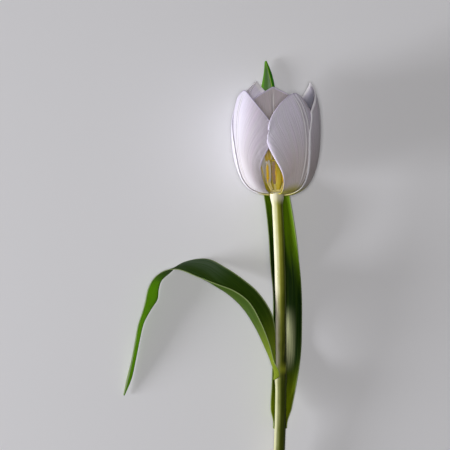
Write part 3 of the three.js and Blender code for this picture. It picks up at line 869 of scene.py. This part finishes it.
def leaf_surface(guides, clasp, roll):
    lines = [smooth_line(guide) for guide in guides]

    def at(u, v):
        first, keel, second = (line(v) for line in lines)
        across = u[..., None]
        surface = keel * (1 - across**2) + first * across * (across - 1) / 2
        surface = surface + second * across * (across + 1) / 2
        surface[..., 2] += np.where(u > 0, roll(v) * 4 * u * (1 - u), 0)
        return lerp(sheath(clasp, u, v), surface, smooth(v, 0, clasp["share"])[..., None])

    return at


# %% The upper leaf's lines
UPPER_FRONT = [(1.7, -99.4, 17.0), (-0.7, -91.3, 18.8), (-3.6, -80.5, 20.6), (-8.1, -69.2, 21.4),
               (-14.5, -58.1, 21.2), (-22.4, -52.1, 19.6), (-32.7, -48.2, 17.2), (-42.4, -44.6, 14.2),
               (-54.3, -40.3, 11.2), (-61.5, -41.2, 10.6), (-67.4, -45.5, 10.6), (-70.6, -51.2, 10.4),
               (-72.0, -57.3, 9.9), (-73.4, -63.0, 9.2), (-76.2, -71.5, 7.8), (-78.1, -81.3, 6.4),
               (-80.2, -92, 4.8), (-82.7, -101.5, 3.2), (-84.7, -110.6, 1.6)]
UPPER_KEEL = [(-0.8, -99.8, 12.7), (-1.9, -92.1, 13.2), (-6.0, -82, 13.4), (-11.0, -71.3, 13.2),
              (-17.8, -61.2, 12.6), (-24.9, -54.2, 11.6), (-32.7, -48.2, 10.2), (-40.6, -42.4, 8.4),
              (-53.2, -38.8, 6.2), (-60.5, -41.8, 5.8), (-65.7, -45.9, 5.6), (-68.2, -51.4, 5.4),
              (-69.2, -57.1, 5.2), (-71.6, -62.9, 4.9), (-75.0, -71.1, 4.2), (-77.1, -81, 3.5),
              (-79.3, -92, 2.7), (-81.5, -101.5, 2.0), (-84.3, -110.9, 1.3)]
UPPER_BACK = [(4.2, -98.5, 9.2), (3.2, -89, 8.4), (0.6, -77, 7.2), (-1.7, -65.4, 6.4), (-8.9, -53.8, 4.5),
              (-16.7, -46.8, 2.6), (-27.8, -39.3, 1.2), (-38, -34.6, 0.6), (-52, -37.0, 0.25),
              (-59.0, -42.7, 0.25), (-63.4, -46.8, 0.25), (-65.0, -51.8, 0.25), (-65.6, -57.0, 0.25),
              (-69.2, -62.8, 0.25), (-73.3, -70.5, 0.25), (-75.7, -80.5, 0.25), (-78.0, -92, 0.3),
              (-80.2, -101.6, 0.4), (-83.9, -110.5, 0.9)]
upper_clasp = {"foot": -99.3, "length": 8.5, "share": 1 / 18, "drop": 2.2, "turn": 180, "wrap": 78}
upper_surface = leaf_surface([UPPER_FRONT, UPPER_KEEL, UPPER_BACK], upper_clasp, lambda v: 0 * v)

# %% The lower leaf's lines
LOWER_LEFT = [(-1.5, -128, 10.2), (-2.4, -117.6, 9.8), (-1.7, -103, 7.0), (-1.2, -88, 4.6), (-1.0, -70, 3.8),
              (-1.1, -53, 5.2), (-2.5, -38, 7.4), (-3.5, -22, 8.6), (-4.9, -8, 8.0), (-6.8, 6, 4.2),
              (-7.6, 20, 2.0), (-8.4, 36, 1.7), (-9.0, 49, 0.9), (-8.0, 59, 0.7), (-6.15, 69, 0.9),
              (-5.6, 75.4, 1.2)]
LOWER_KEEL = [(2.7, -128, 5.3), (2.9, -117.6, 4.0), (3.8, -103, 1.6), (4.4, -88, 0.5), (4.4, -70, 0.3),
              (4.2, -53, 0.3), (3.7, -38, 0.3), (2.6, -22, 0.3), (1.4, -8, 0.3), (0.2, 6, 0.3),
              (-1.0, 20, 0.3), (-2.2, 36, 0.3), (-2.8, 49, 1.9), (-2.7, 59, 3.2), (-3.7, 69, 2.8),
              (-5.0, 76, 1.9)]
LOWER_RIGHT = [(6.9, -128, 10.2), (9.1, -117.6, 9.6), (12.1, -103, 6.4), (14.5, -88, 2.3), (15.1, -70, 0.5),
               (14.9, -53, 0.6), (13.7, -38, 3.2), (11.7, -22, 7.4), (9.5, -8, 8.0), (7.2, 6, 4.6),
               (5.4, 20, 2.1), (3.4, 36, 1.8), (1.6, 49, 0.9), (0.3, 59, 0.7), (-1.9, 69, 0.9),
               (-4.5, 75.4, 1.2)]


def lower_roll(v):
    return 3.4 * smooth(v, 0.12, 0.3) * (1 - smooth(v, 0.34, 0.52))


lower_clasp = {"foot": -128, "length": 10.5, "share": 1 / 15, "drop": 1.5, "turn": -90, "wrap": 100}
lower_surface = leaf_surface([LOWER_LEFT, LOWER_KEEL, LOWER_RIGHT], lower_clasp, lower_roll)


# %% [markdown]
# The two skins of a leaf differ. The inner one is a saturated yellow-green, with painted shade where the
# leaf lies in shade and painted light where light reaches it. The outer one has a bloom of wax that makes it
# paler and greyer. A pale margin on both is a painted highlight. Parallel veins run through both. Three marks
# belong to one leaf each, so each is a function of its own: the painted sheen on the upper leaf's crest with
# the painted highlight on the margin below it, and the painted sheen streak and the painted light and shade
# of the folded tip of the lower leaf.


# %% Marks on the leaves
def with_streak(w, colour, across, along, veins, first, last, low, high):
    """A painted sheen beside the stem, sharp on its left and soft on its right."""
    mask = w.times(w.ramp(across, first - 0.01, first), w.ramp(across, last, first, kind="LINEAR"))
    length = w.times(w.ramp(along, low, low + 0.06), w.ramp(along, high, high - 0.07))
    mask = w.times(mask, length, w.ramp(veins, 0.35, 0.6, 0.3, 1.0))
    return w.mixed(mask, colour, (0.95, 0.99, 0.56))


def with_folded_tip(w, colour, across, along):
    """Painted light and shade of the folded tip: bands slant over it, with a painted highlight on the fold.
    """
    fold = w.linear(w.plus(along, -0.87), 1.6, across)
    tip = w.mixed(w.ramp(across, 0.3, 0.55), (0.06, 0.14, 0.03), (0.20, 0.32, 0.17))
    tip = w.mixed(w.ramp(across, 0.16, 0.08), tip, (0.09, 0.26, 0.02))
    tip = w.mixed(w.ramp(fold, 0.60, 0.64), tip, (0.42, 0.72, 0.10))
    tip = w.mixed(w.ramp(fold, 0.69, 0.73), tip, (0.03, 0.25, 0.005))
    tip = w.mixed(w.ramp(along, 0.95, 1.0), tip, (0.16, 0.38, 0.03))
    return w.mixed(w.ramp(along, 0.79, 0.82), colour, tip)


def with_crest(w, colour, across, along, veins, waxy, first, last):
    """A painted sheen on the crest, the wax colour on the part that hangs down, a painted highlight on its
    margin.
    """
    mask = w.times(w.ramp(along, first - 0.08, first), w.ramp(along, last + 0.04, last - 0.04))
    mask = w.times(mask, w.ramp(across, 0.45, 1.0), w.ramp(veins, 0.35, 0.6, 0.25, 1.0))
    # painted sheen on the crest
    colour = w.mixed(mask, colour, (0.115, 0.17, 0.105))
    hanging = w.ramp(along, last + 0.02, last + 0.08)
    pale = w.ramp(along, 0.72, 0.98, 0.05, 0.3)
    line = w.times(hanging, w.ramp(w.math("DIVIDE", across, pale), 1.6, 0.8))
    colour = w.mixed(w.times(hanging, w.ramp(across, 0.45, 0.95, 0.0, 0.5)), colour, waxy)
    # painted highlight along the margin of the hanging part
    return w.mixed(line, colour, (0.72, 0.82, 0.52)), line


# %% Leaf material
def leaf_green(name, seed, deep, fresh, foot_colour, fresh_from, thin_from, rim,
               rubbed=None, folded_tip=False, crest=None):
    material, w = new_material(name)
    across, along, outer = blade_coordinates(w)
    outward = w.from_middle(across)
    veins = streaks(w, across, along, 70.0, 4.0, seed)
    broad = streaks(w, across, along, 6.0, 4.0, seed + 2.0)
    place = w.plus(along, w.linear(broad, 0.2, -0.1))
    place = w.plus(place, w.linear(w.math("MAXIMUM", across, 0.55), 0.25, -0.19))
    # the inner face's green, with painted shade towards the foot and painted light towards the tip
    inner = w.mixed(w.ramp(place, fresh_from, fresh_from + 0.15), deep, fresh)
    waxy = w.mixed(w.ramp(broad, 0.35, 0.7), (0.042, 0.085, 0.008), (0.072, 0.125, 0.02))
    colour = w.mixed(w.times(outer, 0.9), inner, waxy)
    colour = w.mixed(w.ramp(veins, 0.45, 0.7, 0.0, 0.5), colour, (0.07, 0.13, 0.01))
    colour = w.mixed(w.ramp(along, 0.2, 0.03, 0.0, 0.9), colour, foot_colour)
    share = w.ramp(along, thin_from, thin_from + 0.15, 0.12, 0.5)
    if rubbed:
        colour = with_streak(w, colour, across, along, veins, *rubbed)
    if folded_tip:
        colour = with_folded_tip(w, colour, across, along)
    if crest:
        colour, line = with_crest(w, colour, across, along, veins, waxy, *crest)
        share = w.times(share, w.linear(line, -0.5, 1.0))
    # a pale margin: a painted highlight where the edge catches the light
    colour = w.mixed(w.ramp(outward, 0.95, 0.99, 0.0, rim), colour, (0.36, 0.46, 0.18))
    through = w.mixed(w.ramp(outward, 0.7, 0.97, 0.95, 0.5), colour, (0.46, 0.78, 0.01))
    return thin_tissue(material, w, colour, through, share, veins, FINE_RELIEF, 0.6, 0.06)


upper_green = leaf_green("upper_leaf_green", 5.0, deep=(0.018, 0.045, 0.001),
                         fresh=(0.030, 0.075, 0.010), foot_colour=(0.21, 0.28, 0.015),
                         fresh_from=0.25, thin_from=0.45, rim=0.9, crest=(0.38, 0.50))
lower_green = leaf_green("lower_leaf_green", 9.0, deep=(0.006, 0.024, 0.001), fresh=(0.13, 0.26, 0.002),
                         foot_colour=(0.26, 0.34, 0.003), fresh_from=0.37, thin_from=0.88, rim=0.6,
                         rubbed=(0.61, 0.88, 0.15, 0.31), folded_tip=True)
print("leaf materials:", upper_green.name, lower_green.name)

# %% Grow the leaves
LEAF_COLUMNS = 56
LEAF_ROWS = 260
LEAVES = {"leaf_upper": (upper_surface, 3.0, upper_green), "leaf_lower": (lower_surface, 8.0, lower_green)}
for name, (surface, seed, green) in LEAVES.items():
    start = sheet(name, surface, LEAF_COLUMNS, LEAF_ROWS, faces_out=False)
    pieces[name] = grow(name, start, blade_tree, thickness=0.00052, margin_thickness=0.00035, veins=13.0,
                        vein_height=0.00003, ripple_height=0.00005, ripple_size=0.012, seed=seed,
                        material=green)

# %% [markdown]
# ## Stamens
#
# Six stamens stand round the pistil, each a pale thread with a long anther. The anthers carry brown pollen
# on the right of the bloom and a pale painted highlight on the left, and they are golden at their edges. All
# are alike and grow from one low collar. One anther and one thread are made as rings of corners round a line,
# and a tree makes the rest.

# %% One anther
STAMENS = 6
STAMEN_TURN = math.radians(-14)
ANTHER_RING = 5.3
ANTHER_FOOT = 7.2
ANTHER_LENGTH = 13.0
ANTHER_RADIUS = 1.35


def round_shape(outline, sides, squash=1.0, lobe=None):
    """Rings of corners from an outline of radius and height that starts and ends on the axis."""
    outline = np.array(outline, float)
    turns = np.arange(sides) * 2 * math.pi / sides
    rings = outline[1:-1]
    radius = rings[:, :1] * (1 if lobe is None else lobe(turns[None, :], rings[:, 1:]))
    x = radius * np.cos(turns)
    y = radius * np.sin(turns) * squash
    z = rings[:, 1:] + 0 * x
    places = np.stack([x, y, z], axis=-1).reshape(-1, 3)
    places = np.vstack([places, [0, 0, outline[0, 1]], [0, 0, outline[-1, 1]]])
    faces = []
    for i in range(len(rings) - 1):
        for j in range(sides):
            k = (j + 1) % sides
            faces.append((i * sides + j, i * sides + k, (i + 1) * sides + k, (i + 1) * sides + j))
    low, high, last = len(places) - 2, len(places) - 1, (len(rings) - 1) * sides
    for j in range(sides):
        k = (j + 1) % sides
        faces.append((low, k, j))
        faces.append((high, last + j, last + k))
    return places, faces


def anther_groove(turn, height):
    """Pinches the anther between its two lobes, on the side that faces out and the side that faces in."""
    return 1 - 0.3 * hill(np.cos(turn), 0.3)


anther_steps = np.linspace(0, 1, 28)
anther_radii = ANTHER_RADIUS * np.sin(math.pi * anther_steps**0.8).clip(0) ** 0.45
anther_outline = list(zip(anther_radii, anther_steps * ANTHER_LENGTH))
anther_places, anther_faces = round_shape(anther_outline, 28, squash=0.75, lobe=anther_groove)
print("an anther has", len(anther_faces), "faces")


# %% Stamen materials
BROWN_FROM = 0.0276
BROWN_WHOLLY = 0.0283


def pollen_gold():
    material, w = new_material("pollen_gold")
    place = w.node("ShaderNodeTexCoord", {}, output=3)
    edge = w.stored("edge")
    grains = w.node("ShaderNodeTexVoronoi", {"Vector": place, "Scale": 2600.0})
    patches = w.noise(place, scale=500.0)
    golden = w.plus(edge, w.linear(patches, 0.8, -0.4))
    brown = w.ramp(w.part(place, "X"), BROWN_FROM, BROWN_WHOLLY)
    # pale on the left of the bloom, a painted highlight; brown pollen on the right
    dust = w.mixed(brown, (0.80, 0.78, 0.72), (0.40, 0.27, 0.18))
    colour = w.mixed(w.ramp(golden, 0.45, 0.85), dust, (0.96, 0.64, 0.02))
    colour = w.mixed(w.ramp(grains, 0.0, 0.5, 0.3, 0.0), colour, (0.95, 0.78, 0.30))
    return thick_tissue(material, w, colour, grains, FINE_RELIEF, 0.85)


def pale_tissue(name, colour, other, scale):
    material, w = new_material(name)
    place = w.node("ShaderNodeTexCoord", {}, output=3)
    long = w.node("ShaderNodeMapping", {"Vector": place, "Scale": (scale, scale / 12, scale)})
    fibres = w.noise(long)
    mixed = w.mixed(w.ramp(fibres, 0.35, 0.7), colour, other)
    return thick_tissue(material, w, mixed, fibres, FINE_RELIEF, 0.5, strength=0.6)


pollen = pollen_gold()
thread_cream = pale_tissue("thread_cream", (0.88, 0.80, 0.40), (0.84, 0.72, 0.20), 1500.0)
ovary_cream = pale_tissue("ovary_cream", (0.80, 0.68, 0.08), (0.66, 0.53, 0.03), 1200.0)
print("centre materials:", pollen.name, thread_cream.name, ovary_cream.name)

# %% [markdown]
# The tree strews grains of pollen over one anther, puts a copy of the stamen at each of six equal turns, and
# sweeps the collar round. A loop in Python could place the copies too, but the grains would be slow there.

# %% Geometry Nodes: a ring of stamens
COLLAR_EDGE = 0.00035
sizes = ("First turn", "Grains per area", "Grain size", "Collar radius", "Collar width", "Collar height")
ring_inputs = {"Stamen": "Geometry", "Count": "Int", **dict.fromkeys(sizes, "Float"),
               "Collar place": "Vector", "Seed": "Int", "Pollen": "Material", "Thread": "Material"}
ring_tree, given = new_geometry_tree("ring of stamens", ring_inputs)
w = ring_tree
is_anther = w.node("FunctionNodeCompare", {0: w.attribute("anther"), 1: 0.5}, operation="GREATER_THAN")
is_thread = w.node("FunctionNodeBooleanMath", {0: is_anther}, operation="NOT")
strewn = w.shape("GeometryNodeDistributePointsOnFaces", given["Stamen"], Selection=is_anther,
                 Density=given["Grains per area"], Seed=given["Seed"])
grain = w.node("GeometryNodeMeshIcoSphere", {"Radius": given["Grain size"], "Subdivisions": 1})
grains = w.shape("GeometryNodeInstanceOnPoints", strewn, Instance=grain)
stamen = w.joined(given["Stamen"], grains)
spots = w.node("GeometryNodePoints", {"Count": given["Count"]})
step = w.math("DIVIDE", 2 * math.pi, given["Count"])
turn = w.linear(w.node("GeometryNodeInputIndex", {}), step, given["First turn"])
turned = w.node("FunctionNodeEulerToRotation", {0: w.node("ShaderNodeCombineXYZ", {2: turn})})
stamens = w.shape("GeometryNodeInstanceOnPoints", spots, Instance=stamen, Rotation=turned)
hoop = w.node("GeometryNodeCurvePrimitiveCircle", {"Resolution": 64, "Radius": given["Collar radius"]})
profile = w.node("GeometryNodeCurvePrimitiveQuadrilateral", {"Width": given["Collar width"],
                                                             "Height": given["Collar height"]})
places = {"Curve": profile, "Count": 5, "Radius": COLLAR_EDGE}
profile = w.node("GeometryNodeFilletCurve", places, mode="POLY")
collar = w.shape("GeometryNodeCurveToMesh", hoop, Profile_Curve=profile)
collar = w.shape("GeometryNodeTransform", collar, Translation=given["Collar place"])
smoothed = w.shape("GeometryNodeSetShadeSmooth", w.joined(stamens, collar))
finish_tree(w, smoothed, given["Pollen"], given["Thread"], is_thread)
print("the ring tree has", len(w.tree.nodes), "nodes")

# %% Grow the stamens
THREAD_FOOT = np.array([0, -3.0, 3.4])
THREAD_TOP = np.array([0, -ANTHER_RING, 8.2])
THREAD_FOOT_RADIUS = 0.75
THREAD_TOP_RADIUS = 0.5
thread_height = THREAD_TOP[2] - THREAD_FOOT[2]
thread_outline = [(lerp(THREAD_FOOT_RADIUS, THREAD_TOP_RADIUS, t), thread_height * t)
                  for t in np.linspace(0, 1, 12)]
thread_outline = [(0, 0)] + thread_outline + [(0, thread_height)]
thread_places, thread_faces = round_shape(thread_outline, 16)
lean = (THREAD_TOP - THREAD_FOOT)[1] / thread_height
thread_places[:, 1] += lean * thread_places[:, 2]
thread_places += THREAD_FOOT
start = bpy.data.meshes.new("stamens")
both = np.vstack([anther_places + [0, -ANTHER_RING, ANTHER_FOOT], thread_places]) / 1000
shifted = [tuple(i + len(anther_places) for i in face) for face in thread_faces]
start.from_pydata(both.tolist(), [], anther_faces + shifted)
carry(start, "anther", np.arange(len(both)) < len(anther_places))
carry(start, "edge", np.abs(both[:, 0]) * 1000 / ANTHER_RADIUS)
pieces["stamens"] = grow("stamens", start, ring_tree, count=STAMENS, first_turn=STAMEN_TURN,
                         grains_per_area=2.2e6, grain_size=0.00013, collar_radius=0.003,
                         collar_width=0.0014, collar_height=0.0012, collar_place=(0, 0, 0.00346), seed=4,
                         pollen=pollen, thread=thread_cream)
into_place = Matrix.Translation(in_frame(BLOOM_FOOT)) @ Matrix(bloom_turn.tolist()).to_4x4()
pieces["stamens"].data.transform(into_place)

# %% Pistil
OVARY_TOP = 18.5
PISTIL_FOOT = 3.1
PISTIL_TOP = 20.4
PISTIL_OUTLINE = [(1.95, 3.1), (1.95, 4.3), (2.5, 5.5), (3.0, 8.1), (3.0, 12.1), (2.6, 16.5), (2.1, 18.1),
                  (3.1, 19.3), (3.2, 20.3), (1.8, 20.9)]


def three_lobes(turn, height):
    depth = 0.16 * smooth(height, PISTIL_FOOT + 1.5, OVARY_TOP + 1)
    return 1 + depth * (np.cos(3 * turn) - 1)


rings = by_length(smooth_line(PISTIL_OUTLINE))(np.linspace(0, 1, 60))
outline = [(0, PISTIL_FOOT)] + [tuple(ring) for ring in rings] + [(0, PISTIL_TOP)]
places, faces = round_shape(outline, 60, lobe=three_lobes)
mesh = plain_mesh("pistil", in_bloom(places), faces)
mesh.materials.append(ovary_cream)
mesh.shade_smooth()
pieces["pistil"] = add_object("pistil", mesh)
print("the pistil has", len(faces), "faces")

# %% [markdown]
# ## Surface and light
#
# The flower lies on a plain pale surface. A low soft light on the left gives the long shading of the picture,
# and a second one on the camera's side keeps the shaded side readable. The world adds hardly any light.

# %% Floor
FLOOR_HALF = 3.0
FLOOR_DROP = 0.00003
corners = [(x * FLOOR_HALF, y * FLOOR_HALF, 0) for x, y in ((-1, -1), (1, -1), (1, 1), (-1, 1))]
floor_mesh = bpy.data.meshes.new("floor")
floor_mesh.from_pydata(corners, [], [(0, 1, 2, 3)])
floor = add_object("floor", floor_mesh)
floor.location.z = -FLOOR_DROP
material, w = new_material("pale_floor")
skin = w.node("ShaderNodeBsdfPrincipled", {"Base Color": (0.80, 0.81, 0.82), "Roughness": 0.9,
                                           "Specular IOR Level": 0.2})
w.node("ShaderNodeOutputMaterial", {"Surface": skin})
floor_mesh.materials.append(material)
floor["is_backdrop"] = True


# %% Lights
def soft_light(name, place, size, power, colour):
    light = bpy.data.lights.new(name, "AREA")
    light.shape = "DISK"
    light.size = size
    light.energy = power
    light.color = colour
    lamp = add_object(name, light)
    lamp.location = place
    lamp.rotation_euler = (-lamp.location).to_track_quat("-Z", "Y").to_euler()


soft_light("key", place=(-1.42, -0.28, 0.24), size=0.46, power=26.0, colour=(0.96, 0.95, 1.0))
soft_light("overhead", place=(-0.01, 0.03, 1.9), size=0.28, power=16.0, colour=(1.0, 0.97, 0.98))
world = bpy.data.worlds.new("studio")
world.use_nodes = True
background = world.node_tree.nodes["Background"]
background.inputs["Color"].default_value = (1.0, 0.98, 0.95, 1.0)
background.inputs["Strength"].default_value = 0.012
bpy.context.scene.world = world

# %% [markdown]
# ## Hand over to the frame
#
# Each piece rides on the flower's one body and stands for the solid of its own name, which is hidden.

# %% Hand over
for name, piece in pieces.items():
    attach(piece, "root")
    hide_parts(name)

# %% Compare the two boxes
seen_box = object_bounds()
boxes = {"cad": [list(corner) for corner in cad_box], "visual": [list(corner) for corner in seen_box]}
print("box of the solids", boxes["cad"], "box of the pieces", boxes["visual"])
